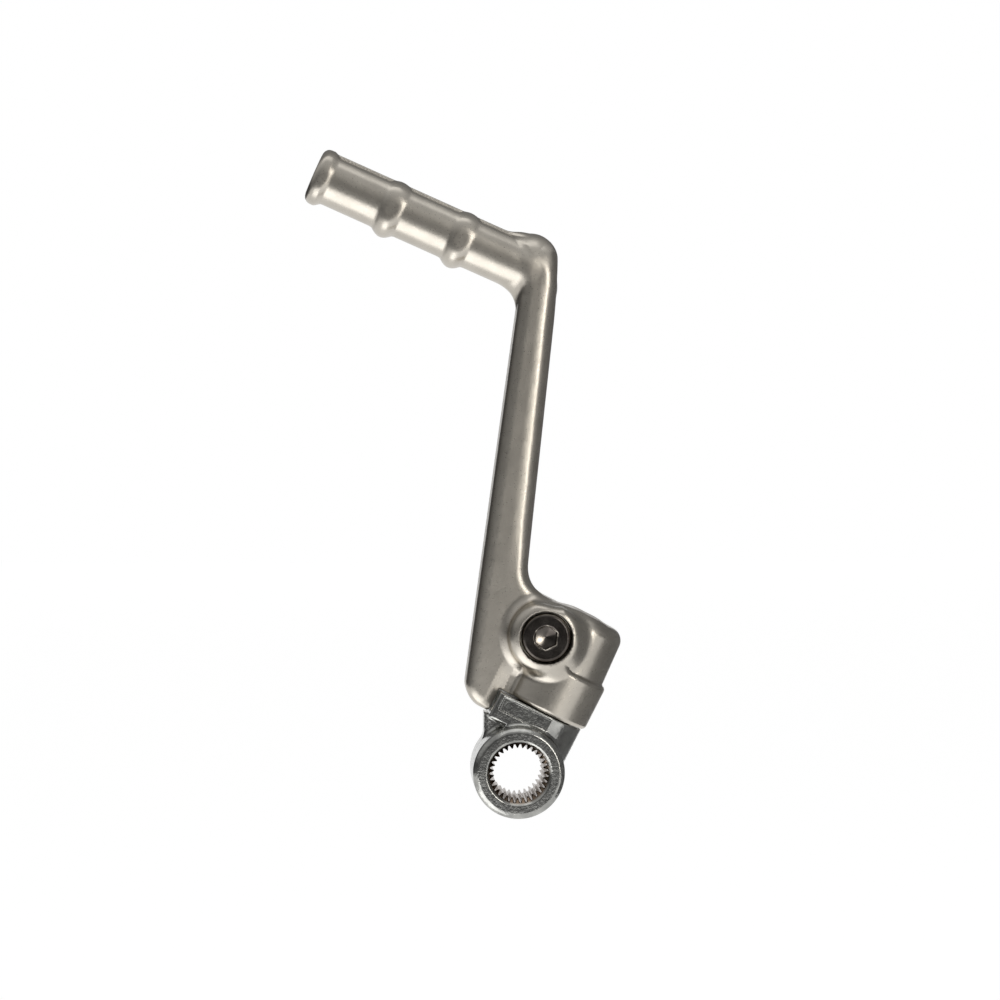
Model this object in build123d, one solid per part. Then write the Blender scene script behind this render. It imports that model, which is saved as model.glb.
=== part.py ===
from build123d import *
import math
import os

# Folding kick start lever: a forged arm with a foot pedal that swings on a splined steel knuckle.
# Frame: origin on the kick shaft's axis at the middle of the boss, +Z up, +Y outward from the engine.
# Sizes are in millimetres and angles in degrees.

# Splined boss that slides on the kick shaft
spline_teeth = 31
spline_minor_radius = 6.0
spline_major_radius = 7.1
spline_land_share = 0.22
spline_lead_in = 0.7
boss_radius = 11.1
boss_length = 16.0
boss_chamfer = 1.0

# Fold pivot: how far its axis leans towards +X and lies outward, and the knuckle's collar under the arm.
# Heights on the pivot are measured along it from the kick shaft's axis.
pivot_lean = 27.0
pivot_outward = 6.0
shoulder_height = 15.3
collar_radius = 10.2
stop_reach = 12.5
fold_stop_bottom = 8.5
stop_chamfer = 0.8
cheek_side = 8.0
cheek_top = 8.9
cheek_depth = 8.0
cheek_rounding = 2.0
washer_room = 10.4
panel_width = 12.4
panel_height = 3.3
panel_depth = 0.35
panel_rounding = 0.6
panel_across = -4.8
panel_along = 13.0

# Journal that the arm turns on
journal_radius = 7.0
journal_length = 21.6
journal_chamfer = 0.8
bore_clearance = 0.03
bore_end_gap = 0.6
thrust_clearance = 0.2

# Retaining screw, which crosses the side of the journal in a groove
screw_offset = 8.8
screw_rise = 16.7
screw_head_radius = 5.95
screw_head_thickness = 4.1
screw_head_chamfer = 0.55
screw_head_gap = 0.42
screw_sink = 0.35
screw_shank_radius = 3.5
screw_shank_end = 5.0
screw_thread_radius = 3.0
screw_end_gap = 0.4
screw_clearance = 0.04
groove_gap = 0.12
socket_sides = 6
socket_flats = 5.0
socket_depth = 2.7
socket_chamfer = 0.35
socket_turn = 23.0

# Detent in the journal that clicks the arm in at both ends of its swing
detent_rise = 5.4
detent_bearing = -60.0
detent_floor = -3.6
ball_radius = 2.5
ball_clearance = 0.05
ball_travel = 0.6
pocket_gap = 0.08
spring_wire_radius = 0.3
spring_side_gap = 0.3
spring_end_gap = 0.03
spring_turns = 4.5

# Swing of the arm between its stops
swing = 90.0
stop_gap = 0.15

# Arm forging, from the elbow down to the lug that meets the stops
elbow_across = 5.9
elbow_height = 120.1
elbow_bend_radius = 12.2
arm_lean = 7.0
arm_length = 104.0
arm_width_elbow = 9.0
arm_width_root = 12.2
arm_depth = 12.4
arm_rounding = 3.4
crown_shift = 2.05
crown_lift = 3.55
crown_radius = 6.25
crown_fall = 30.0
shoulder_blend = 60.0
head_drop = 0.8
head_corner_radius = 5.0
lug_bottom = 9.4
lug_corner_radius = 4.0
lug_bevel = 2.4

# Pivot barrel at the arm's foot, and its cap
barrel_radius = 11.0
barrel_length = 11.6
barrel_edge = 0.5
cap_radius_low = 9.9
cap_radius_high = 9.2
cap_height = 25.6
cap_rounding = 3.2

# Round bosses that take the screw's head and its thread
head_boss_face = 12.4
head_boss_radius = 7.5
head_boss_flare = 4.2
thread_boss_face = 10.6
thread_boss_radius = 6.0
thread_boss_flare = 3.0
boss_rim = 0.8
flare_sink = 0.15

# Foot pedal, measured along its axis from the end face. Its flange and beads stand out most underneath.
pedal_rise = 24.0
pedal_length = 59.7
pedal_radius = 6.3
pedal_edge = 1.0
flange_radius = 6.85
flange_width = 3.0
flange_rounding = 1.1
flange_slope = 2.2
flange_drop = 0.33
bead_stations = (20.5, 38.6)
bead_width = 5.2
bead_height = 0.8
bead_drop = 0.5
bead_fillet = 0.6


def pivot_place():
    lean = math.radians(pivot_lean)
    across = (math.cos(lean), 0, -math.sin(lean))
    along = (math.sin(lean), 0, math.cos(lean))
    return Plane(origin=(0, pivot_outward, 0), x_dir=across, z_dir=along)


def pivot_point(across, along):
    # Side view place, as X and Z, of a point given across and along the pivot
    lean = math.radians(pivot_lean)
    x = across * math.cos(lean) + along * math.sin(lean)
    z = along * math.cos(lean) - across * math.sin(lean)
    return (x, z)


def turned(profile):
    return revolve(Plane.XZ * profile, Axis.Z)


def bar(radius, start, end):
    return Pos(0, 0, start) * Cylinder(radius, end - start, align=(Align.CENTER, Align.CENTER, Align.MIN))


def nearest(vertices, point):
    return vertices.sort_by_distance((point[0], point[1], 0))[0]


def nearest_edge(edges, point):
    return min(edges, key=lambda edge: edge.distance_to(Vertex(*point)))


def middle(a, b):
    return ((a[0] + b[0]) / 2, (a[1] + b[1]) / 2)


def crossing(a, b, c, d):
    # Where the line through a and b meets the line through c and d
    run = Vector(*b) - Vector(*a)
    other = Vector(*d) - Vector(*c)
    offset = Vector(*c) - Vector(*a)
    share = (offset.X * other.Y - offset.Y * other.X) / (run.X * other.Y - run.Y * other.X)
    meeting = Vector(*a) + run * share
    return (meeting.X, meeting.Y)


def shaft_place():
    # Frame whose Z axis runs outward along the kick shaft
    return Plane(origin=(0, 0, 0), x_dir=(1, 0, 0), z_dir=(0, 1, 0))


def screw_place():
    # Frame on the screw's axis whose Z axis runs outward, in line with the pivot
    x, z = pivot_point(-screw_offset, shoulder_height + screw_rise)
    return Plane(origin=(x, pivot_outward, z), x_dir=(1, 0, 0), z_dir=(0, 1, 0))


def detent_place(turn):
    # Frame in the pivot's own frame, whose Z axis runs out along the ball's path
    bearing = math.radians(detent_bearing + turn)
    out = (math.cos(bearing), math.sin(bearing), 0)
    return Plane(origin=(0, 0, shoulder_height + detent_rise), x_dir=(0, 0, 1), z_dir=out)


def ball_seat():
    # Height of the ball's centre on its path while it rides on the bore
    return journal_radius - ball_radius


def spline_cut():
    # Toothed opening with straight flanks between narrow tips and roots
    step = 2 * math.pi / spline_teeth
    land = spline_land_share * step / 2
    points = []
    for tooth in range(spline_teeth):
        tip = tooth * step
        root = tip + step / 2
        for radius, angle in (
            (spline_minor_radius, tip - land),
            (spline_minor_radius, tip + land),
            (spline_major_radius, root - land),
            (spline_major_radius, root + land),
        ):
            points.append((radius * math.cos(angle), radius * math.sin(angle)))
    opening = make_face(Polyline(*points, close=True))
    return extrude(opening, amount=boss_length, both=True)


def lead_in_cones():
    # Cones that lead the shaft into the teeth at each face of the boss
    wide = spline_major_radius + spline_lead_in
    half = boss_length / 2
    inner = half - (wide - spline_minor_radius)
    profile = make_face(
        Polyline((0, half), (wide, half), (spline_minor_radius, inner), (0, inner), close=True)
    )
    cone = turned(profile)
    return cone + mirror(cone, about=Plane.XY)


def make_collar():
    # Round collar with a square stop towards the engine and another on the far side
    collar = bar(collar_radius, 0, shoulder_height)
    fold_stop = Pos(-stop_reach, -collar_radius, fold_stop_bottom) * Box(
        stop_reach, collar_radius, shoulder_height - fold_stop_bottom, align=Align.MIN
    )
    near = fold_stop.faces().sort_by(Axis.Y)[0].edges()
    fold_stop = chamfer([near.sort_by(Axis.X)[0], near.sort_by(Axis.Z)[0]], stop_chamfer)
    open_stop = Pos(0, 0, washer_room) * Box(
        collar_radius, stop_reach, shoulder_height - washer_room, align=Align.MIN
    )
    open_stop = fillet(open_stop.edges().filter_by(Axis.Z).sort_by(Axis.Y)[-2:], cheek_rounding)
    panel = Pos(panel_across, -collar_radius, panel_along) * (
        Plane.XZ * extrude(RectangleRounded(panel_width, panel_height, panel_rounding), amount=-panel_depth)
    )
    body = collar + fold_stop - panel
    room = Pos(0, boss_length / 2 - pivot_outward, washer_room) * Box(
        2 * stop_reach, stop_reach, 2 * washer_room, align=(Align.CENTER, Align.MIN, Align.MAX)
    )
    return body - room + open_stop


def make_cheek():
    # Upright cheek on the boss, under the lug's path, level with the boss's outer face
    lean = math.radians(pivot_lean)
    height = (cheek_top + cheek_side * math.sin(lean)) / math.cos(lean)
    outline = make_face(
        Polyline((0, 0), (-cheek_side, 0), (-cheek_side, height), pivot_point(0, cheek_top), close=True)
    )
    cheek = Pos(0, boss_length / 2, 0) * (Plane.XZ * extrude(outline, amount=cheek_depth))
    return fillet(cheek.edges().filter_by(Axis.Z).sort_by(Axis.X)[:2], cheek_rounding)


def make_journal():
    low = shoulder_height - journal_chamfer
    tip = shoulder_height + journal_length
    groove = shoulder_height + screw_rise
    groove_half = screw_shank_radius + groove_gap
    groove_root = screw_offset - groove_half
    profile = make_face(
        Polyline(
            (0, low),
            (journal_radius, low),
            (journal_radius, groove - groove_half),
            (groove_root, groove - groove_half),
            (groove_root, groove + groove_half),
            (journal_radius, groove + groove_half),
            (journal_radius, tip - journal_chamfer),
            (journal_radius - journal_chamfer, tip),
            (0, tip),
            close=True,
        )
    )
    hole = detent_place(0) * bar(ball_radius + ball_clearance, detent_floor, 2 * journal_radius)
    return turned(profile) - hole


def make_knuckle():
    boss = bar(boss_radius, -boss_length / 2, boss_length / 2)
    boss = chamfer(boss.edges().filter_by(GeomType.CIRCLE), boss_chamfer)
    head = pivot_place() * (make_collar() + make_journal())
    return head + make_cheek() + shaft_place() * boss - shaft_place() * (spline_cut() + lead_in_cones())


def arm_edge(side, drop):
    # Point on the arm's left (side -1) or right (side 1) edge, that far below the elbow along the arm
    lean = math.radians(arm_lean)
    half = (arm_width_elbow + (arm_width_root - arm_width_elbow) * drop / arm_length) / 2
    x = elbow_across - drop * math.sin(lean) + side * half * math.cos(lean)
    z = elbow_height - drop * math.cos(lean) - side * half * math.sin(lean)
    return (x, z)


def crown_outline():
    # Side of the crown, the corner it rounds, the end of that rounding and a place inside the pedal
    fall = math.radians(crown_fall)
    x = elbow_across - crown_shift
    z = elbow_height + crown_lift
    side = (x + crown_radius, z)
    edge = (x - crown_radius * math.sin(fall), z + crown_radius * math.cos(fall))
    foot = (edge[0] - crown_radius * math.cos(fall), edge[1] - crown_radius * math.sin(fall))
    turn = crossing(side, (side[0], elbow_height), edge, foot)
    return side, turn, edge, foot


def arm_corners():
    # Corners of the forging's side outline, as X and Z
    lug_wall = stop_reach + stop_gap
    barrel_low = shoulder_height + thrust_clearance
    barrel_top = shoulder_height + cap_height - head_drop
    left = (arm_edge(-1, 0), arm_edge(-1, arm_length))
    right = (arm_edge(1, 0), arm_edge(1, arm_length))
    lug_foot = pivot_point(-lug_wall, lug_bottom)
    lug_top = pivot_point(-lug_wall, barrel_low)
    head_top = pivot_point(0, barrel_top)
    lug_corner = crossing(*left, lug_foot, pivot_point(0, lug_bottom))
    head_corner = crossing(*right, head_top, pivot_point(lug_wall, barrel_top))
    crown_side, crown_turn, crown_edge, crown_foot = crown_outline()
    return {
        "lug corner": lug_corner,
        "lug foot": lug_foot,
        "lug top": lug_top,
        "barrel foot": pivot_point(0, barrel_low),
        "head top": head_top,
        "head corner": head_corner,
        "shoulder": crossing(*right, crown_side, crown_turn),
        "crown": crown_turn,
        "crown foot": crown_foot,
        "inner edge": left[0],
    }


def arm_outline():
    corners = arm_corners()
    outline = make_face(Polyline(*corners.values(), close=True))
    for name, radius in (
        ("head corner", head_corner_radius),
        ("lug corner", lug_corner_radius),
        ("shoulder", shoulder_blend),
        ("crown", crown_radius),
    ):
        outline = fillet(nearest(outline.vertices(), corners[name]), radius)
    return outline


def make_arm_blank():
    # The outline given its depth and rounded along the edges that show
    corners = arm_corners()
    crown_side, crown_turn, crown_edge, crown_foot = crown_outline()
    shown = (
        corners["lug corner"],
        corners["head corner"],
        corners["shoulder"],
        crown_side,
        crown_edge,
        middle(corners["lug corner"], corners["inner edge"]),
        middle(corners["shoulder"], corners["head corner"]),
        middle(corners["lug corner"], corners["lug foot"]),
        middle(corners["head corner"], corners["head top"]),
    )
    blank = Plane.XZ * extrude(arm_outline(), amount=arm_depth / 2, both=True)
    sides = (-arm_depth / 2, arm_depth / 2)
    rims = [nearest_edge(blank.edges(), (x, side, z)) for side in sides for x, z in shown]
    blank = fillet(rims, arm_rounding)
    x, z = middle(corners["lug foot"], corners["lug top"])
    walls = [nearest_edge(blank.edges(), (x, side, z)) for side in sides]
    return chamfer(walls, lug_bevel)


def make_elbow():
    # Bend that carries the arm's oval section round to the pedal's circle, and the round crown above it
    lean = math.radians(arm_lean)
    rise = math.radians(pedal_rise)
    run = elbow_bend_radius * math.tan((math.pi / 2 - rise + lean) / 2)
    up_arm = (math.sin(lean), math.cos(lean))
    out_pedal = (-math.cos(rise), math.sin(rise))
    start = (elbow_across - run * up_arm[0], elbow_height - run * up_arm[1])
    end = (elbow_across + run * out_pedal[0], elbow_height + run * out_pedal[1])
    path = Plane.XZ * TangentArc(start, end, tangent=up_arm)
    low = Plane(origin=(start[0], 0, start[1]), x_dir=(0, 1, 0), z_dir=(up_arm[0], 0, up_arm[1]))
    high = Plane(origin=(end[0], 0, end[1]), x_dir=(0, 1, 0), z_dir=(out_pedal[0], 0, out_pedal[1]))
    half_width = (arm_width_elbow + (arm_width_root - arm_width_elbow) * run / arm_length) / 2
    sections = [low * Ellipse(arm_depth / 2, half_width), high * Circle(pedal_radius)]
    bend = sweep(sections=sections, path=path, multisection=True)
    crown_run = crown_lift / math.tan(rise) - crown_shift
    crown = Sphere(crown_radius) + Rot(0, -90, 0) * bar(crown_radius, 0, crown_run)
    return bend, Pos(elbow_across - crown_shift, 0, elbow_height + crown_lift) * crown


def make_pedal():
    # Round bar with an end flange and beads that keep the boot from slipping
    bar_end = make_face(
        Polyline((0, 0), (pedal_radius, 0), (pedal_radius, pedal_length), (0, pedal_length), close=True)
    )
    pedal = turned(fillet(nearest(bar_end.vertices(), (pedal_radius, 0)), pedal_edge))
    foot = pedal_radius - 2 * flange_drop
    flange = make_face(
        Polyline(
            (0, 0),
            (flange_radius, 0),
            (flange_radius, flange_width),
            (foot, flange_width + flange_slope),
            (0, flange_width + flange_slope),
            close=True,
        )
    )
    flange = fillet(nearest(flange.vertices(), (flange_radius, 0)), flange_rounding)
    flange = fillet(nearest(flange.vertices(), (flange_radius, flange_width)), flange_rounding)
    pedal = pedal + Pos(0, -flange_drop, 0) * turned(flange)
    foot = pedal_radius - 2 * bead_drop
    for station in bead_stations:
        low = station - bead_width / 2
        high = station + bead_width / 2
        crest = ThreePointArc((foot, low), (pedal_radius + bead_height, station), (foot, high))
        core = Polyline((foot, high), (0, high), (0, low), (foot, low))
        before = pedal.edges()
        pedal = pedal + Pos(0, -bead_drop, 0) * turned(make_face(crest + core))
        feet = [nearest_edge(pedal.edges() - before, (0, -pedal_radius, height)) for height in (low, high)]
        pedal = fillet(feet, bead_fillet)
    rise = math.radians(pedal_rise)
    out = (math.cos(rise), 0, -math.sin(rise))
    x = elbow_across - pedal_length * math.cos(rise)
    z = elbow_height + pedal_length * math.sin(rise)
    return Plane(origin=(x, 0, z), x_dir=(0, 1, 0), z_dir=out) * pedal


def make_barrel():
    low = shoulder_height + thrust_clearance
    step = low + barrel_length
    top = shoulder_height + cap_height
    profile = make_face(
        Polyline(
            (0, low),
            (barrel_radius, low),
            (barrel_radius, step),
            (cap_radius_low, step),
            (cap_radius_high, top),
            (0, top),
            close=True,
        )
    )
    profile = fillet(nearest(profile.vertices(), (cap_radius_high, top)), cap_rounding)
    profile = fillet(nearest(profile.vertices(), (barrel_radius, step)), barrel_edge)
    profile = fillet(nearest(profile.vertices(), (cap_radius_low, step)), barrel_edge)
    profile = chamfer(nearest(profile.vertices(), (barrel_radius, low)), barrel_edge)
    return turned(profile)


def make_screw_boss(radius, flare, face):
    # Boss about the screw that sweeps out into the forging's flat side
    base = arm_depth / 2 - flare_sink
    bend = math.sqrt(0.5)
    sweep_out = ThreePointArc(
        (radius + flare, base),
        (radius + flare * (1 - bend), base + flare * (1 - bend)),
        (radius, base + flare),
    )
    rest = Polyline((radius, base + flare), (radius, face), (0, face), (0, base), (radius + flare, base))
    profile = make_face(sweep_out + rest)
    profile = fillet(nearest(profile.vertices(), (radius, face)), boss_rim)
    return turned(profile)


def make_arm():
    bend, crown = make_elbow()
    flat = Pos(0, pivot_outward, 0)
    forging = flat * make_arm_blank() + pivot_place() * make_barrel()
    forging = forging + flat * make_pedal() + flat * bend + flat * crown
    head_boss = make_screw_boss(head_boss_radius, head_boss_flare, head_boss_face)
    thread_boss = make_screw_boss(thread_boss_radius, thread_boss_flare, thread_boss_face)
    bosses = screw_place() * mirror(head_boss, about=Plane.XY) + screw_place() * thread_boss
    outline = flat * (Plane.XZ * extrude(arm_outline(), amount=boss_length, both=True))
    forging = forging + bosses.intersect(outline)

    bore_top = shoulder_height + journal_length + bore_end_gap
    bore = bar(journal_radius + bore_clearance, 0, bore_top)
    pocket = Pos(0, 0, ball_seat() + ball_travel) * Sphere(ball_radius + pocket_gap)
    for turn in (0, swing):
        bore = bore + detent_place(turn) * pocket
    seat = screw_sink + screw_head_thickness - head_boss_face
    holes = bar(screw_head_radius + screw_head_gap, -2 * head_boss_face, seat)
    holes = holes + bar(screw_shank_radius + screw_clearance, seat, screw_shank_end + screw_clearance)
    holes = holes + bar(screw_thread_radius + screw_clearance, seat, 2 * thread_boss_face)
    return forging - pivot_place() * bore - screw_place() * holes


def make_screw():
    top = screw_sink - head_boss_face
    seat = top + screw_head_thickness
    end = thread_boss_face - screw_end_gap
    profile = make_face(
        Polyline(
            (0, top),
            (screw_head_radius, top),
            (screw_head_radius, seat),
            (screw_shank_radius, seat),
            (screw_shank_radius, screw_shank_end),
            (screw_thread_radius, screw_shank_end),
            (screw_thread_radius, end),
            (0, end),
            close=True,
        )
    )
    profile = chamfer(nearest(profile.vertices(), (screw_head_radius, top)), screw_head_chamfer)
    profile = chamfer(nearest(profile.vertices(), (screw_thread_radius, end)), screw_head_chamfer)
    corner_radius = socket_flats / 2 / math.cos(math.pi / socket_sides)
    socket = Rot(0, 0, socket_turn) * RegularPolygon(corner_radius, socket_sides)
    mouth = corner_radius + socket_chamfer
    cone = make_face(Polyline((0, top), (mouth, top), (0, top + mouth), close=True))
    screw = turned(profile) - Pos(0, 0, top) * extrude(socket, amount=socket_depth)
    return screw_place() * (screw - turned(cone).intersect(bar(mouth, top, top + 2 * socket_chamfer)))


def make_ball():
    return pivot_place() * detent_place(0) * Pos(0, 0, ball_seat()) * Sphere(ball_radius)


def make_spring():
    coil_radius = ball_radius + ball_clearance - spring_side_gap - spring_wire_radius
    low = detent_floor + spring_wire_radius + spring_end_gap
    reach = math.sqrt((ball_radius + spring_wire_radius + spring_end_gap) ** 2 - coil_radius**2)
    height = ball_seat() - reach - low
    path = Helix(pitch=height / spring_turns, height=height, radius=coil_radius)
    wire = Plane(origin=path @ 0, z_dir=path % 0) * Circle(spring_wire_radius)
    return pivot_place() * detent_place(0) * Pos(0, 0, low) * sweep(wire, path=path, is_frenet=True)


pieces = {
    "lever_arm": make_arm(),
    "knuckle": make_knuckle(),
    "retaining_screw": make_screw(),
    "detent_ball": make_ball(),
    "detent_spring": make_spring(),
}
os.makedirs("parts", exist_ok=True)
for name, piece in pieces.items():
    export_step(piece, f"parts/{name}.step")
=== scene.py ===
import math
import bpy
import numpy as np
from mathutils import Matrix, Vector


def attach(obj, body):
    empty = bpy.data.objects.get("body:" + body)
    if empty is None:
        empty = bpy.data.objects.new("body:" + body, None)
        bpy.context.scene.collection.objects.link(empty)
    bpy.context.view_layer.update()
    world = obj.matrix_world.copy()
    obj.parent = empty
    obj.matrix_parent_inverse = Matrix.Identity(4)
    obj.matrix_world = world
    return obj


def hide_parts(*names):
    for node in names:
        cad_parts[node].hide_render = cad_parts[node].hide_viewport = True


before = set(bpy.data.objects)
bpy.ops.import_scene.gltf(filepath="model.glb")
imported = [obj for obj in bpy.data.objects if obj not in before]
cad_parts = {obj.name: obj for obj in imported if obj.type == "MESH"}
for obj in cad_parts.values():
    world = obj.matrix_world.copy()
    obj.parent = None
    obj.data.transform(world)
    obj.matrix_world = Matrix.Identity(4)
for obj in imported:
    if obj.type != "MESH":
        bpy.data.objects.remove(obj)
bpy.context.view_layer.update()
scene = bpy.context.scene
print("frame loaded:", ", ".join(sorted(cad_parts)))


# distances to simple forms, in millimetres, worked out on whole arrays

def roundJoin(a, b, k):  # union of two forms with a fillet of radius k in the crease between them
    return np.maximum(k, np.minimum(a, b)) - np.hypot(np.maximum(k - a, 0.0), np.maximum(k - b, 0.0))


def softJoin(a, b, k):  # union of two forms, swollen by a square where they are equally far off within k
    return np.minimum(a, b) - np.maximum(k - np.abs(a - b), 0.0) ** 2 / (4.0 * k)


def roundMeet(a, b, k):  # what two forms share, with the edge between them rounded to radius k
    return np.minimum(-k, np.maximum(a, b)) + np.hypot(np.maximum(k + a, 0.0), np.maximum(k + b, 0.0))


def roundPlate(flat, depth, half, r):  # a flat outline given thickness, with its rims rounded to radius r
    out, away = flat + r, depth - (half - r)
    beyond = np.hypot(np.maximum(out, 0.0), np.maximum(away, 0.0))
    return np.minimum(np.maximum(out, away), 0.0) + beyond - r


def ease(v):  # three squares less two cubes, which runs from 0 to 1 with no kink at either end
    v = np.clip(v, 0.0, 1.0)
    return v * v * (3.0 - 2.0 * v)


def rampUp(v, start, span):  # 0 up to start, 1 from a span beyond it
    return ease((v - start) / span)


def rampDown(v, end, span):  # 1 up to a span before end, 0 from end on
    return ease((end - v) / span)


slant = 0.7071  # distance to a 45 degree slope for each millimetre along an axis


# the fold pivot's frame, shared by the arm, the knuckle and the screw

pivot = {"lean": math.radians(27.0), "outward": 6.0, "shoulder": 15.3}


def pivotFrame(x, y, z):  # across, outward and along the pivot from the kick shaft's axis
    s, c = math.sin(pivot["lean"]), math.cos(pivot["lean"])
    return x * c - z * s, y - pivot["outward"], x * s + z * c


# in millimetres; a pair called From or Fade is the place where a change begins or ends, and its span
arm = {
    "elbow": (5.9, 120.1), "lean": math.radians(7.0), "rise": math.radians(24.0),
    "length": 104.0, "widthTop": 9.0, "widthFoot": 12.2, "depth": 12.4, "rim": 3.0, "leastFlat": 0.1,
    "faceFall": 0.9, "fallFrom": (42.0, 20.0), "crownShare": 0.6, "crownFade": (10.0, 16.0),
    "crownSide": 10.1, "crownEdge": 1.0, "crownTop": 129.9, "crownCorner": 6.4, "crownLeft": 3.0,
    "crownSpread": 2.8, "spreadFade": (6.0, 10.0), "crownFall": 2.2, "crownHeight": 9.0,
    "crownRim": 6.0, "domeFrom": (-1.0, 5.0), "domeShare": 0.5, "domeFade": (8.0, 14.0),
    "domeSideFade": (4.0, 7.0),
    "pedalLength": 59.7, "pedalRadius": 6.3, "pedalStop": 3.4,
    "pedalFlat": 5.5, "flatLift": 1.4, "flatEdge": 0.6,
    "fin": (1.7, 6.25, 0.4), "finPast": 1.0, "finFoot": 3.0, "finBlend": 0.3,
    "elbowFillet": 4.6, "elbowFade": (2.5, 5.0), "crownFillet": 3.0, "filletFrom": (2.0, 4.0),
    "filletSpan": 6.0, "leastFillet": 1.0, "depthFade": (5.5, 4.5),
    "flange": 0.75, "flangeDrop": 0.3, "flangeWidth": 2.6, "flangeSlope": 2.0, "flangeEdge": 2.0,
    "beads": (20.5, 38.6), "beadWidth": 5.3, "beadHeight": 0.9, "beadDrop": 0.5, "beadFoot": 0.22,
    "thrust": 0.2, "lugWall": 12.65, "lugBottom": 9.4, "lugCorner": 4.0, "wallEdge": 0.3,
    "bevel": 0.28, "bevelStart": 2.4, "bevelWidth": 3.2, "bevelFade": (9.0, 5.0), "bevelEdge": 0.8,
    "headTop": 25.2, "headSide": 5.0, "headCorner": 4.5, "headBlend": 5.5,
    "barrel": (11.0, 11.6), "cap": (9.9, 9.2, 25.6), "capRim": 3.2, "barrelRim": 1.1, "stepFillet": 0.3,
    "barrelBlend": 3.0, "leastBlend": 0.7, "faceFrom": (2.5, 4.0), "blendFrom": (5.0, 6.0),
    "screwAcross": -8.8, "screwRise": 16.7, "bossRoot": 4.0, "bossRoom": (4.0, 0.8), "leastBossBlend": 0.3,
    "frontBoss": (8.9, 12.4), "frontRim": 2.6, "frontEdge": 2.3, "frontBlend": 2.6,
    "backBoss": (6.0, 10.6), "backRim": 0.9, "backEdge": 1.5, "backBlend": 3.0,
    "seat": (6.37, 7.95), "shank": (3.54, 5.04), "thread": 3.04,
    "bore": (7.03, 22.2), "pocket": (2.58, 5.1, 5.4, (-60.0, 30.0)),
    "box": ((-53.0, -8.5, 7.0), (28.0, 18.5, 152.5)), "pitch": 0.4,
}


def armBar(x, z):  # the arm's outline seen flat, its half depth and rim, and how far right of its middle
    a = arm
    px, pz = x - a["elbow"][0], z - a["elbow"][1]
    up = (math.sin(a["lean"]), math.cos(a["lean"]))
    side = px * up[1] - pz * up[0]
    drop = -px * up[0] - pz * up[1]
    above = px * math.sin(a["rise"]) + pz * math.cos(a["rise"])  # over the pedal's middle line
    broader = (a["widthFoot"] - a["widthTop"]) / 2
    width = a["widthTop"] / 2 + broader * np.clip(drop, 0.0, None) / a["length"]
    flat = roundMeet(side - width, x - a["crownSide"], a["crownEdge"])
    flat = roundMeet(flat, z - a["crownTop"], a["crownCorner"])
    spread = a["crownSpread"] * rampDown(drop, *a["spreadFade"])  # the crown reaches left over the pedal
    flat = roundMeet(flat, -side - width - spread, a["crownLeft"])

    # the face falls away with the square of the way to the right, and leans back over the pedal's line
    fall = a["faceFall"] * rampUp(z, *a["fallFrom"])
    fall = fall * (1.0 - a["crownShare"] * rampDown(drop, *a["crownFade"]))
    depth = a["depth"] / 2 - fall * (np.clip(side, 0.0, width) / width) ** 2
    lean = np.clip(above, 0.0, a["crownHeight"]) / a["crownHeight"]
    depth = depth - a["crownFall"] * lean ** 2
    domed = np.maximum(rampUp(above, *a["domeFrom"]), a["domeShare"] * rampDown(drop, *a["domeFade"]))
    domed = domed * rampDown(side, *a["domeSideFade"])
    rim = np.minimum(a["rim"] + (a["crownRim"] - a["rim"]) * domed, depth - a["leastFlat"])
    return flat, depth, rim, side


def pedalBar(x, y, z):  # distance to the round pedal, thickest below at flange and beads, and its fillet
    a = arm
    px, pz = x - a["elbow"][0], z - a["elbow"][1]
    out = (-math.cos(a["rise"]), math.sin(a["rise"]))
    station = a["pedalLength"] - px * out[0] - pz * out[1]  # from the end face
    above = px * out[1] - pz * out[0]
    away = y - pivot["outward"]
    lip = rampDown(station, a["flangeWidth"] + a["flangeSlope"], a["flangeSlope"])
    radius = a["pedalRadius"] + a["flange"] * lip
    lower = a["flangeDrop"] * lip
    proud = lip
    for bead in a["beads"]:
        hump = 1.0 - ((station - bead) / (a["beadWidth"] / 2)) ** 2
        lift = 0.5 * (hump + np.hypot(hump, a["beadFoot"]))  # a parabola that eases into the bar
        radius = radius + a["beadHeight"] * lift
        lower = lower + a["beadDrop"] * lift
        proud = proud + lift
    past = np.maximum(station - a["pedalLength"] + a["pedalStop"], 0.0)
    bar = np.hypot(np.hypot(above + lower, away), past) - radius

    # a narrow flat on top, and the parting fin along it
    bar = roundMeet(bar, above - a["pedalFlat"] - a["flatLift"] * proud, a["flatEdge"])
    half, top, edge = a["fin"]
    fin = roundMeet(np.abs(away) - half, above - top, edge)
    fin = np.maximum(fin, np.maximum(past - a["finPast"], a["finFoot"] - above))
    bar = softJoin(bar, fin, a["finBlend"])

    inner = rampDown(above, *a["elbowFade"])
    outer = rampUp(above, *a["filletFrom"]) * rampDown(x, a["elbow"][0], a["filletSpan"])
    fillet = a["elbowFillet"] * inner + a["crownFillet"] * outer
    fillet = fillet * rampDown(np.abs(away), *a["depthFade"])
    return roundMeet(bar, -station, a["flangeEdge"]), a["leastFillet"] + fillet


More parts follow.
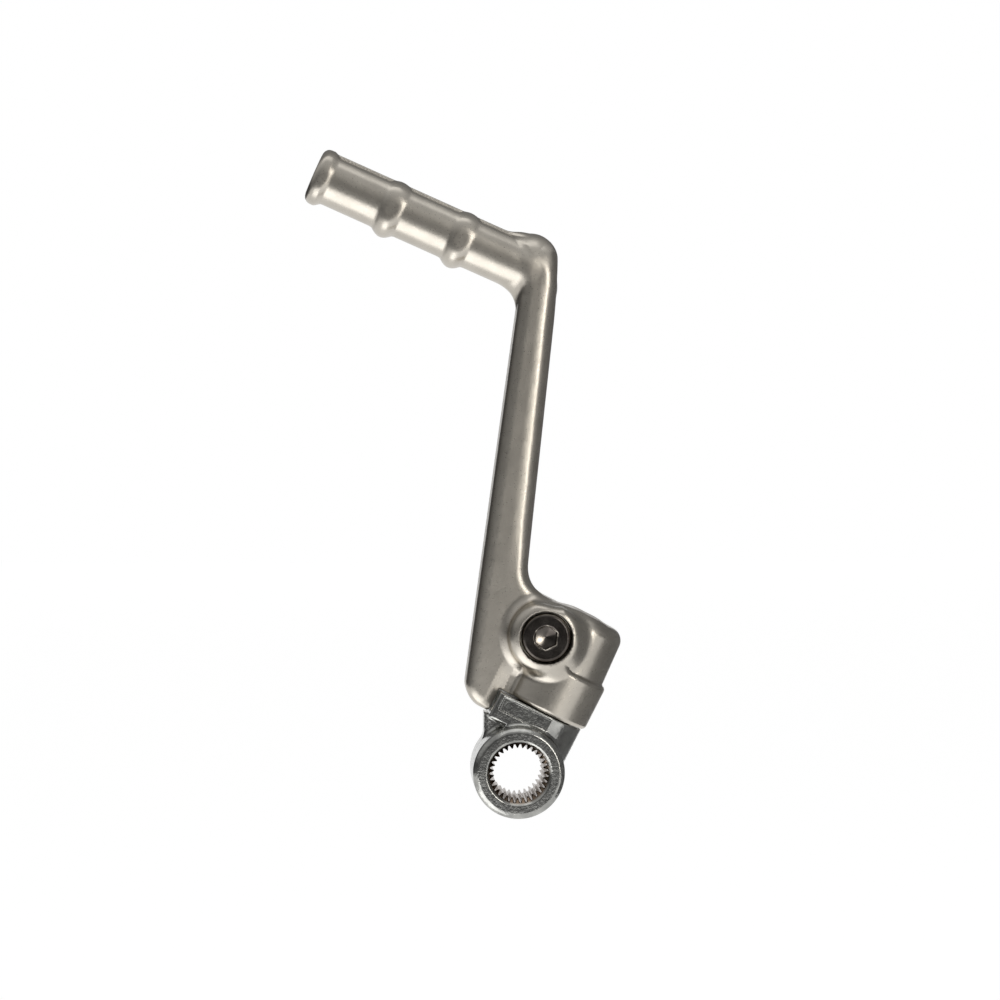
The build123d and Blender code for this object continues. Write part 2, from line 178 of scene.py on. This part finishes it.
def armField(x, y, z):  # distance to the arm: bar, pedal, head, barrel, cap and bosses joined, less its holes
    a = arm
    flat, depth, rim, side = armBar(x, z)
    across, away, along = pivotFrame(x, y, z)
    low = pivot["shoulder"] + a["thrust"]
    flat = roundMeet(flat, a["lugBottom"] - along, a["lugCorner"])
    head = roundMeet(across - a["headSide"], along - pivot["shoulder"] - a["headTop"], a["headCorner"])
    head = np.maximum(head, np.maximum(low - along, -side))
    flat = softJoin(flat, head, a["headBlend"])
    body = roundPlate(flat, np.abs(away), depth, rim)
    body = softJoin(body, *pedalBar(x, y, z))

    # the lug falls away beside the barrel
    bevel = a["bevel"] * np.clip(across + a["lugWall"] + a["bevelStart"], 0.0, a["bevelWidth"])
    end, span = a["bevelFade"]
    bevel = bevel * rampDown(along, low + end, span)
    body = roundMeet(body, np.abs(away) - depth + bevel, a["bevelEdge"])

    # a straight barrel, and a cap that narrows from its step to its top
    ring = np.hypot(across, away)
    radius, height = a["barrel"]
    step = low + height
    barrel = roundMeet(ring - radius, np.maximum(along - step, low - along), a["barrelRim"])
    wide, narrow, height = a["cap"]
    capTop = pivot["shoulder"] + height
    taper = wide + (narrow - wide) * (along - step) / (capTop - step)
    cap = np.maximum(roundMeet(ring - taper, along - capTop, a["capRim"]), low - along)
    faced = rampUp(np.abs(away), *a["faceFrom"])  # blends are broad on the faces, small along the outline
    raised = rampUp(along - low, *a["blendFrom"])
    blend = a["leastBlend"] + (a["barrelBlend"] - a["leastBlend"]) * faced * raised
    body = roundJoin(body, roundJoin(barrel, cap, a["stepFillet"]), blend)

    bolt = np.hypot(across - a["screwAcross"], along - pivot["shoulder"] - a["screwRise"])
    blend, margin = a["bossRoom"]
    within = np.maximum(np.abs(across) - narrow, along - capTop)
    within = softJoin(flat, within, blend) + margin  # the bosses end inside the outline
    for end, outward in (("front", -away), ("back", away)):
        radius, reach = a[end + "Boss"]
        boss = roundMeet(bolt - radius, outward - reach, a[end + "Rim"])
        boss = np.maximum(boss, a["bossRoot"] - outward)
        blend = a["leastBossBlend"] + (a[end + "Blend"] - a["leastBossBlend"]) * faced
        body = roundJoin(body, roundMeet(boss, within, a[end + "Edge"]), blend)

    hole = np.maximum(bolt - a["seat"][0], away + a["seat"][1])
    hole = np.minimum(hole, np.maximum(bolt - a["shank"][0], away - a["shank"][1]))
    hole = np.minimum(hole, bolt - a["thread"])
    hole = np.minimum(hole, np.maximum(ring - a["bore"][0], along - pivot["shoulder"] - a["bore"][1]))
    size, reach, rise, bearings = a["pocket"]
    for bearing in bearings:
        s, c = math.sin(math.radians(bearing)), math.cos(math.radians(bearing))
        ball = (across - reach * c) ** 2 + (away - reach * s) ** 2 + (along - pivot["shoulder"] - rise) ** 2
        hole = np.minimum(hole, np.sqrt(ball) - size)
    body = np.maximum(body, -hole)
    return roundMeet(body, np.minimum(across + a["lugWall"], low - along), a["wallEdge"])


knuckle = {
    "boss": (11.1, 8.0), "bossEdge": 1.0, "edge": 0.3, "blend": 0.9,
    "teeth": 31, "toothTip": 6.0, "toothRoot": 7.1, "toothLand": 0.11,
    "toothSlope": 0.35, "toothEdge": 0.15, "leadIn": 1.8, "grease": (0.6, 0.7),
    "collar": 10.2, "stopReach": 12.5, "stopLow": 8.5, "stopEdge": 0.7,
    "cheek": (8.0, 8.9), "cheekEdge": 2.0, "cheekBlend": 0.5, "room": (2.0, 10.4),
    "panel": (-4.8, 13.0, 6.2, 1.65), "panelDepth": 0.35, "panelEdge": 0.2,
    "journal": (7.0, 36.9), "journalEdge": 0.8, "journalRoot": 1.0, "groove": (32.0, 3.62, 5.18),
    "detent": (2.55, 20.7, -3.6, -60.0),
    "box": ((-12.0, -8.5, -11.6), (24.0, 19.2, 37.0)), "pitch": 0.28,
}


def knuckleField(x, y, z):  # distance to the knuckle: toothed boss, cheek, collar with two stops, and journal
    k = knuckle
    across, away, along = pivotFrame(x, y, z)
    top = pivot["shoulder"]
    ring = np.hypot(across, away)
    shaft = np.hypot(x, z)
    collar = np.maximum(ring - k["collar"], -along)
    block = roundMeet(-across - k["stopReach"], -away - k["collar"], k["stopEdge"])
    block = roundMeet(np.maximum(block, np.maximum(across, away)), k["stopLow"] - along, k["stopEdge"])
    collar = roundMeet(np.minimum(collar, block), along - top, k["edge"])
    middle, rise, halfWidth, halfHeight = k["panel"]
    panel = np.maximum(np.abs(across - middle) - halfWidth, np.abs(along - rise) - halfHeight)
    collar = roundMeet(collar, -np.maximum(panel, away + k["collar"] - k["panelDepth"]), k["panelEdge"])
    collar = np.maximum(collar, np.minimum(away - k["room"][0], k["room"][1] - along))
    half = k["collar"] / 2
    stop = roundMeet(np.abs(across - half) - half, away - k["stopReach"], k["cheekEdge"])
    stop = roundMeet(np.maximum(stop, -away), np.maximum(along - top, k["room"][1] - along), k["edge"])
    collar = np.minimum(collar, stop)

    half = k["boss"][1] / 2
    cheek = roundMeet(-x - k["cheek"][0], np.abs(y - half) - half, k["cheekEdge"])
    cheek = roundMeet(np.maximum(cheek, np.maximum(across, -z)), along - k["cheek"][1], k["edge"])

    face = np.abs(y) - k["boss"][1]
    rim = shaft - k["boss"][0]
    boss = roundMeet(roundMeet(rim, (rim + face + k["bossEdge"]) * slant, k["edge"]), face, k["edge"])
    body = roundJoin(roundJoin(collar, cheek, k["cheekBlend"]), boss, k["blend"])

    turn = np.arctan2(z, x) * k["teeth"] / (2 * math.pi)
    phase = np.abs(turn - np.round(turn))  # 0 on a tooth's tip, a half at the root beside it
    share = np.clip((phase - k["toothLand"]) / (0.5 - 2 * k["toothLand"]), 0.0, 1.0)
    tooth = (k["toothTip"] + (k["toothRoot"] - k["toothTip"]) * share - shaft) * k["toothSlope"]
    lead = (k["toothTip"] + np.minimum(face, 0.0) + k["leadIn"] - shaft) * slant
    body = roundMeet(body, np.maximum(tooth, lead), k["toothEdge"])

    radius, tip = k["journal"]
    edge = (ring - radius + along - tip + k["journalEdge"]) * slant
    ends = np.maximum(along - tip, top - k["journalRoot"] - along)
    journal = np.maximum(np.maximum(ring - radius, edge), ends)
    rise, half, floor = k["groove"]
    journal = np.maximum(journal, np.minimum(half - np.abs(along - rise), ring - floor))
    size, rise, floor, bearing = k["detent"]
    s, c = math.sin(math.radians(bearing)), math.cos(math.radians(bearing))
    path = across * c + away * s
    side = np.hypot(across * s - away * c, along - rise)
    journal = np.maximum(journal, np.minimum(size - side, path - floor))
    return np.minimum(body, journal)


def boreGrease(points):  # 1 on the teeth and along the bore, fading out on its lead in
    shaft = np.hypot(points[:, 0], points[:, 2])
    beyond, span = knuckle["grease"]
    return rampDown(shaft, knuckle["toothRoot"] + beyond, span)


screw = {
    "head": (5.95, -12.05, 4.1), "headEdge": 0.55, "headRound": 0.25,
    "shank": (3.5, 5.0), "thread": 3.0, "end": 10.2, "neck": 0.5,
    "flats": 2.5, "turn": math.radians(-5.0), "mouth": 3.0, "socketRound": 0.08,
    "socketDepth": 2.7, "floorSlope": 0.25, "floorMiddle": 1.4,
    # the lighter marks are painted highlights on the socket's mouth and the head's rim, with some key wear at
    # the mouth, and a painted glint spot on the socket's floor
    "mouthWearGlint": (0.05, 0.16), "mouthFrom": (-1.9, 1.4),
    "rimWearGlint": (0.55, 0.12, 0.2), "rimFrom": (-1.0, 0.5),
    "glintSpot": (-1.5, -0.5, 0.8), "glintFrom": (-3.6, 0.3), "glintFade": (-2.0, 0.3),
    "box": ((0.0, -6.6, 26.0), (13.2, 16.6, 39.0)), "pitch": 0.2,
}


def screwParts(x, y, z):  # place across the screw's head, how far before its face, and out of its socket
    k = screw
    s, c = math.sin(pivot["lean"]), math.cos(pivot["lean"])
    rise = pivot["shoulder"] + arm["screwRise"]
    px = x - arm["screwAcross"] * c - rise * s
    pz = z + arm["screwAcross"] * s - rise * c
    front = k["head"][1] - (y - pivot["outward"])
    flats = 0.0
    for turn in (0.0, math.pi / 3, 2 * math.pi / 3):
        flats = np.maximum(flats, np.abs(px * math.cos(k["turn"] + turn) + pz * math.sin(k["turn"] + turn)))
    return px, pz, front, flats - k["flats"]


def screwField(x, y, z):  # distance to the cross screw: head with a six sided socket, shank and thread
    k = screw
    px, pz, front, flats = screwParts(x, y, z)
    radius, face, height = k["head"]
    bolt = np.hypot(px, pz)
    away = face - front
    head = roundMeet(bolt - radius, (bolt - radius + front + k["headEdge"]) * slant, k["headRound"])
    head = roundMeet(np.maximum(head, away - face - height), front, k["headRound"])
    floor = k["socketDepth"] + k["floorSlope"] * (k["floorMiddle"] - bolt)  # the floor is a shallow cone
    socket = np.minimum(np.maximum(flats, -front - floor), (bolt - k["mouth"] - front) * slant)
    head = roundMeet(head, -socket, k["socketRound"])
    shank = np.maximum(bolt - k["shank"][0], away - k["shank"][1])
    thread = np.maximum(bolt - k["thread"], away - k["end"])
    return np.minimum(head, np.maximum(np.minimum(shank, thread), face + height - k["neck"] - away))


def screwWearAndGlint(points):  # painted highlight, 1 on the socket's mouth over some key wear and on a painted glint spot of its floor, less on the head's rim
    k = screw
    px, pz, front, flats = screwParts(*points.T)
    bolt = np.hypot(px, pz)
    start, fade = k["mouthWearGlint"]
    # painted highlight on the socket's mouth, over some key wear
    mouth = np.exp(-(np.maximum(flats - start, 0.0) / fade) ** 2) * rampUp(front, *k["mouthFrom"])
    most, inset, fade = k["rimWearGlint"]
    rim = most * np.exp(-((bolt - k["head"][0] + inset) / fade) ** 2) * rampUp(front, *k["rimFrom"])
    spotX, spotZ, fade = k["glintSpot"]
    # a painted glint on the socket's floor
    spot = np.exp(-((px - spotX) ** 2 + (pz - spotZ) ** 2) / fade ** 2)
    spot = spot * rampDown(front, *k["glintFade"]) * rampUp(front, *k["glintFrom"])
    return np.maximum(np.maximum(mouth, rim), spot)


net = {"turns": 6, "evened": (1, 2, 3), "share": 0.4, "step": 0.02, "leastSlope": 0.06}


def skinFromField(field, low, high, pitch):  # a vertex in each grid cell the surface crosses, drawn onto it
    low = np.array(low, float)
    count = np.ceil((np.array(high, float) - low) / pitch).astype(int) + 1
    x, y, z = (low[i] + pitch * np.arange(count[i]) for i in range(3))
    value = field(x[:, None, None], y[None, :, None], z[None, None, :]).astype(np.float32)
    inside = value < 0
    corners = [(i, j, k) for i in (0, 1) for j in (0, 1) for k in (0, 1)]
    cut = tuple(n - 1 for n in count)
    part = lambda grid, c: grid[c[0]:c[0] + cut[0], c[1]:c[1] + cut[1], c[2]:c[2] + cut[2]]
    filled = sum(part(inside, c).astype(np.int8) for c in corners)
    cells = np.nonzero((filled > 0) & (filled < 8))
    number = np.full(cut, -1, np.int64)
    number[cells] = np.arange(len(cells[0]))

    # each vertex starts at the mean of the points where its cell's edges cross the surface
    total = np.zeros((len(cells[0]), 3))
    hits = np.zeros(len(cells[0]))
    at = lambda grid, c: grid[cells[0] + c[0], cells[1] + c[1], cells[2] + c[2]]
    for axis in range(3):
        for c in corners:
            if c[axis] == 0:
                d = tuple(v + (n == axis) for n, v in enumerate(c))
                a, b = at(value, c), at(value, d)
                crossed = (a < 0) != (b < 0)
                share = np.where(crossed, a / np.where(crossed, a - b, 1.0), 0.0)
                point = np.tile(np.array(c, float), (len(share), 1))
                point[:, axis] += share
                total += point * crossed[:, None]
                hits += crossed
    points = low + pitch * (np.stack(cells, 1) + total / hits[:, None])

    # a face joins the four cells round each grid edge that crosses the surface, and points outwards
    quads = []
    pick = lambda w: number[w[:, 0], w[:, 1], w[:, 2]]
    for axis in range(3):
        one, two = np.eye(3, dtype=int)[(axis + 1) % 3], np.eye(3, dtype=int)[(axis + 2) % 3]
        span = [slice(1, n) for n in cut]
        span[axis] = slice(0, cut[axis])
        ahead = list(span)
        ahead[axis] = slice(1, cut[axis] + 1)
        a, b = inside[tuple(span)], inside[tuple(ahead)]
        where = np.stack(np.nonzero(a != b), 1) + np.array([int(n != axis) for n in range(3)])
        ring = np.stack([pick(where - one - two), pick(where - two), pick(where), pick(where - one)], 1)
        rising = a[tuple(np.nonzero(a != b))]
        quads.append(np.where(rising[:, None], ring, ring[:, ::-1]))
    quads = np.concatenate(quads)

    ends = np.concatenate([quads[:, [0, 1]], quads[:, [1, 2]], quads[:, [2, 3]], quads[:, [3, 0]]])
    shared = np.bincount(ends[:, 0], minlength=len(points))
    for turn in range(net["turns"]):
        if turn in net["evened"]:  # even out the net, then draw it back onto the surface
            around = [np.bincount(ends[:, 0], points[ends[:, 1], i], len(points)) for i in range(3)]
            points = (1.0 - net["share"]) * points + net["share"] * np.stack(around, 1) / shared[:, None]
        slope = fieldSlope(field, points)
        steep = np.maximum((slope ** 2).sum(1), net["leastSlope"])
        move = slope * (field(*points.T) / steep)[:, None]
        points = points - np.clip(move, -pitch / 2, pitch / 2)
    return points, quads, fieldSlope(field, points)


def fieldSlope(field, points):  # how fast the distance grows along each axis
    steps = np.eye(3) * net["step"]
    rises = [field(*(points + step).T) - field(*(points - step).T) for step in steps]
    return np.stack(rises, 1) / (2 * net["step"])


millimetre = 0.001


def meshFrom(name, points, quads, normals):
    mesh = bpy.data.meshes.new(name)
    mesh.vertices.add(len(points))
    mesh.vertices.foreach_set("co", (points * millimetre).ravel())
    mesh.loops.add(quads.size)
    mesh.loops.foreach_set("vertex_index", quads.ravel())
    mesh.polygons.add(len(quads))
    mesh.polygons.foreach_set("loop_start", np.arange(0, quads.size, 4))
    mesh.polygons.foreach_set("use_smooth", np.ones(len(quads), bool))
    mesh.update(calc_edges=True)
    mesh.validate()
    mesh.normals_split_custom_set_from_vertices(normals / np.linalg.norm(normals, axis=1)[:, None])
    piece = bpy.data.objects.new(name, mesh)
    scene.collection.objects.link(piece)
    return piece


# materials

def newMaterial(name):
    material = bpy.data.materials.new(name)
    material.use_nodes = True
    nodes = material.node_tree.nodes
    return material, nodes, material.node_tree.links, nodes["Principled BSDF"]


def noiseNode(nodes, links, coords, scale, detail=3.0, rough=0.5):
    node = nodes.new("ShaderNodeTexNoise")
    node.inputs["Scale"].default_value = scale
    node.inputs["Detail"].default_value = detail
    node.inputs["Roughness"].default_value = rough
    links.new(coords.outputs["Object"], node.inputs["Vector"])
    return node


def rampNode(nodes, links, source, stops):  # a stop is a place and a colour, or a place and a single value
    node = nodes.new("ShaderNodeValToRGB")
    ramp = node.color_ramp
    for at, _ in stops[2:]:
        ramp.elements.new(at)
    for element, (at, tone) in zip(ramp.elements, sorted(stops)):
        element.position = at
        element.color = (*tone, 1.0) if len(tone) == 3 else (tone[0], tone[0], tone[0], 1.0)
    links.new(source, node.inputs["Fac"])
    return node


def bumpNode(nodes, links, height, strength, distance, under=None):
    node = nodes.new("ShaderNodeBump")
    node.inputs["Strength"].default_value = strength
    node.inputs["Distance"].default_value = distance
    links.new(height, node.inputs["Height"])
    if under:
        links.new(under.outputs["Normal"], node.inputs["Normal"])
    return node


def maskNode(nodes, links, tone, name, cover):  # another colour where the mesh's own mask of that name is 1
    mask = nodes.new("ShaderNodeAttribute")
    mask.attribute_name = name
    mix = nodes.new("ShaderNodeMixRGB")
    mix.inputs["Color2"].default_value = (*cover, 1.0)
    links.new(mask.outputs["Fac"], mix.inputs["Fac"])
    links.new(tone.outputs["Color"], mix.inputs["Color1"])
    return mix


def mathNode(nodes, operation):
    node = nodes.new("ShaderNodeMath")
    node.operation = operation
    return node


def grainedMetal(name, look):  # broad patches of two tones, and a fine grain that breaks up the shine
    material, nodes, links, skin = newMaterial(name)
    coords = nodes.new("ShaderNodeTexCoord")
    grain = noiseNode(nodes, links, coords, *look["grain"])
    patch = noiseNode(nodes, links, coords, *look["patch"])
    tone = rampNode(nodes, links, patch.outputs["Fac"], look["tones"])
    if "mask" in look:
        tone = maskNode(nodes, links, tone, *look["mask"])
    links.new(tone.outputs["Color"], skin.inputs["Base Color"])
    sheen = rampNode(nodes, links, grain.outputs["Fac"], look["shine"])
    links.new(sheen.outputs["Color"], skin.inputs["Roughness"])
    uneven = bumpNode(nodes, links, patch.outputs["Fac"], *look["uneven"]) if "uneven" in look else None
    fine = bumpNode(nodes, links, grain.outputs["Fac"], *look["fine"], uneven)
    links.new(fine.outputs["Normal"], skin.inputs["Normal"])
    skin.inputs["Metallic"].default_value = 1.0
    return material


blastedAluminium = grainedMetal("blasted_aluminium", {  # warm grey, finely blasted and slightly uneven
    "grain": (2600.0, 2.0), "patch": (160.0, 3.0, 0.55),
    "tones": [(0.25, (0.46, 0.43, 0.38)), (0.75, (0.56, 0.525, 0.465))],
    "shine": [(0.3, (0.27,)), (0.7, (0.34,))], "uneven": (0.25, 0.0003), "fine": (0.06, 0.00008),
})
zincPlate = grainedMetal("zinc_plate", {  # bright plate over a grainy forging, brown grease in the bore
    "grain": (1500.0, 3.0), "patch": (300.0, 4.0), "mask": ("grease", (0.17, 0.125, 0.09)),
    "tones": [(0.3, (0.27, 0.27, 0.26)), (0.7, (0.47, 0.47, 0.445))],
    "shine": [(0.3, (0.10,)), (0.75, (0.22,))], "uneven": (0.2, 0.0002), "fine": (0.55, 0.00008),
})
blackOxide = grainedMetal("black_oxide", {  # dark oxide, painted lighter as highlights on the socket's mouth and the head's rim, with some key wear at the mouth, and as a glint on the socket's floor
    "grain": (3200.0, 2.0), "patch": (350.0, 4.0), "mask": ("wear_and_glint", (0.62, 0.57, 0.50)),
    "tones": [(0.35, (0.055, 0.048, 0.043)), (0.75, (0.12, 0.108, 0.098))],
    "shine": [(0.3, (0.16,)), (0.7, (0.24,))], "fine": (0.1, 0.00004),
})


def plainSteel(name, light, shine):  # drawn or polished steel of the hidden pieces
    look = {"patch": (900.0, 3.0), "shade": 0.8, "dull": 0.08}
    material, nodes, links, skin = newMaterial(name)
    coords = nodes.new("ShaderNodeTexCoord")
    patch = noiseNode(nodes, links, coords, *look["patch"])
    dark = tuple(look["shade"] * v for v in light)
    tone = rampNode(nodes, links, patch.outputs["Fac"], [(0.3, dark), (0.7, light)])
    links.new(tone.outputs["Color"], skin.inputs["Base Color"])
    sheen = rampNode(nodes, links, patch.outputs["Fac"], [(0.3, (shine,)), (0.7, (shine + look["dull"],))])
    links.new(sheen.outputs["Color"], skin.inputs["Roughness"])
    skin.inputs["Metallic"].default_value = 1.0
    return material


for name, field, form, material, masks, body, node, slot in (
    ("arm_forging", armField, arm, blastedAluminium, {},
     "lever", "lever_arm", "forged_aluminium"),
    ("plated_knuckle", knuckleField, knuckle, zincPlate, {"grease": boreGrease},
     "knuckle", "knuckle", "plated_steel"),
    # the screw's mask paints highlights and a glint in a lighter colour, with some key wear at the mouth
    ("cross_screw", screwField, screw, blackOxide, {"wear_and_glint": screwWearAndGlint},
     "lever", "retaining_screw", "black_steel"),
):
    points, quads, normals = skinFromField(field, *form["box"], form["pitch"])
    piece = meshFrom(name, points, quads, normals)
    piece.data.materials.append(material)
    for mask, paint in masks.items():
        piece.data.attributes.new(mask, "FLOAT", "POINT").data.foreach_set("value", paint(points))
    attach(piece, body)
    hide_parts(node)
    print(name, len(points), "points,", len(quads), "faces")

for node, material in (
    ("detent_ball", plainSteel("polished_steel", (0.72, 0.72, 0.72), 0.08)),
    ("detent_spring", plainSteel("spring_wire", (0.52, 0.52, 0.53), 0.25)),
):
    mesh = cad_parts[node].data
    mesh.materials.clear()
    mesh.materials.append(material)
print("steel pieces dressed")


# floor, backdrop, lights and camera

studio = {
    "floorDrop": -0.16, "front": -0.75, "backdrop": 3.0, "side": 0.9, "top": 0.9,
    "white": (0.93, 0.93, 0.93), "matt": 0.9, "floorGlow": (0.8, 1.15), "backdropGlow": (1.0, 1.0),
    "cardSide": 0.22, "cardFront": -0.13, "cardBack": 0.5, "cardTop": 0.3, "cardGrey": (0.42, 0.42, 0.42),
    "middle": (0.0, 0.0, 0.07),
}


def paleStage(name, corners, lit, glow):  # a pale sheet that glows by the share lit, to eye and mirror alone
    mesh = bpy.data.meshes.new(name)
    mesh.from_pydata(corners, [], [(0, 1, 2, 3)])
    material, nodes, links, skin = newMaterial(name)
    skin.inputs["Base Color"].default_value = (*studio["white"], 1.0)
    skin.inputs["Roughness"].default_value = studio["matt"]
    shine = nodes.new("ShaderNodeEmission")
    shine.inputs["Strength"].default_value = glow
    path = nodes.new("ShaderNodeLightPath")
    most = mathNode(nodes, "MAXIMUM")
    both = mathNode(nodes, "MAXIMUM")
    part = mathNode(nodes, "MULTIPLY")
    part.inputs[1].default_value = lit
    blend = nodes.new("ShaderNodeMixShader")
    links.new(path.outputs["Is Camera Ray"], most.inputs[0])
    links.new(path.outputs["Is Glossy Ray"], most.inputs[1])
    links.new(most.outputs[0], both.inputs[0])
    links.new(path.outputs["Is Transmission Ray"], both.inputs[1])
    links.new(both.outputs[0], part.inputs[0])
    links.new(part.outputs[0], blend.inputs["Fac"])
    links.new(skin.outputs[0], blend.inputs[1])
    links.new(shine.outputs[0], blend.inputs[2])
    links.new(blend.outputs[0], nodes["Material Output"].inputs["Surface"])
    mesh.materials.append(material)
    stage = bpy.data.objects.new(name, mesh)
    scene.collection.objects.link(stage)


drop, near, far, side, top = (studio[k] for k in ("floorDrop", "front", "backdrop", "side", "top"))
floor = [(-side, near, drop), (side, near, drop), (side, far, drop), (-side, far, drop)]
backdrop = [(-side, far, drop), (side, far, drop), (side, far, top), (-side, far, top)]
paleStage("floor", floor, *studio["floorGlow"])
paleStage("backdrop", backdrop, *studio["backdropGlow"])


def softbox(name, place, aim, size, bright, tint=(1.0, 1.0, 1.0)):  # bright is its own glow, 1 being white
    lamp = bpy.data.lights.new(name, "AREA")
    lamp.shape = "RECTANGLE"
    lamp.size, lamp.size_y = size
    lamp.energy = bright * math.pi * size[0] * size[1]
    lamp.color = tint
    holder = bpy.data.objects.new(name, lamp)
    holder.location = place
    holder.rotation_euler = (Vector(aim) - Vector(place)).to_track_quat("-Z", "Y").to_euler()
    holder.visible_camera = False
    scene.collection.objects.link(holder)


softbox("front_right", (0.36, -0.74, 0.15), studio["middle"], (0.17, 0.5), 4.8, (1.0, 0.97, 0.92))
softbox("table_glow", (-0.15, -0.36, -0.155), (-0.15, -0.36, 1.0), (0.24, 0.72), 1.35)  # faces straight up
softbox("top_soft", (0.0, -0.25, 0.95), studio["middle"], (0.8, 0.5), 0.8)

# a dark card to the right, seen only in the metal
card = bpy.data.meshes.new("dark_card")
side, near, far, top = (studio["card" + k] for k in ("Side", "Front", "Back", "Top"))
corners = [(side, near, drop), (side, far, drop), (side, far, top), (side, near, top)]
card.from_pydata(corners, [], [(0, 1, 2, 3)])
material, nodes, links, skin = newMaterial("dark_card")
skin.inputs["Base Color"].default_value = (*studio["cardGrey"], 1.0)
skin.inputs["Roughness"].default_value = studio["matt"]
card.materials.append(material)
cardPiece = bpy.data.objects.new("dark_card", card)
cardPiece.visible_camera = False
cardPiece.visible_shadow = False
cardPiece.visible_diffuse = False
scene.collection.objects.link(cardPiece)

# the room's brightness by height, 0 below, 0.5 at eye level and 1 overhead, and its dimming to the rear
room = [(0.30, (0.60,)), (0.40, (0.20,)), (0.55, (0.12,)), (0.66, (0.34,)), (0.80, (0.58,)), (1.0, (0.52,))]
rear = [(0.0, (1.0,)), (0.5, (0.45,))]
world = bpy.data.worlds.new("studio")
scene.world = world
world.use_nodes = True
nodes, links = world.node_tree.nodes, world.node_tree.links
coords = nodes.new("ShaderNodeTexCoord")
split = nodes.new("ShaderNodeSeparateXYZ")
links.new(coords.outputs["Generated"], split.inputs[0])
height = mathNode(nodes, "MULTIPLY_ADD")
height.inputs[1].default_value = 0.5
height.inputs[2].default_value = 0.5
links.new(split.outputs["Z"], height.inputs[0])
band = rampNode(nodes, links, height.outputs[0], room)
behind = rampNode(nodes, links, split.outputs["Y"], rear)
shade = nodes.new("ShaderNodeMixRGB")
shade.blend_type = "MULTIPLY"
shade.inputs["Fac"].default_value = 1.0
links.new(band.outputs["Color"], shade.inputs["Color1"])
links.new(behind.outputs["Color"], shade.inputs["Color2"])
links.new(shade.outputs["Color"], nodes["Background"].inputs["Color"])
nodes["Background"].inputs["Strength"].default_value = 1.0

eye = {
    "place": (-0.04687, -0.69838, 0.09968), "turn": (87.2, 0.0, -3.5),
    "lens": 104.4, "sensor": 36.0, "clip": 0.01,
}
camera = bpy.data.cameras.new("camera")
camera.lens = eye["lens"]
camera.sensor_width = eye["sensor"]
camera.clip_start = eye["clip"]
holder = bpy.data.objects.new("camera", camera)
holder.location = eye["place"]
holder.rotation_euler = [math.radians(v) for v in eye["turn"]]
scene.collection.objects.link(holder)
scene.camera = holder
scene.view_settings.view_transform = "Standard"
print("studio set")
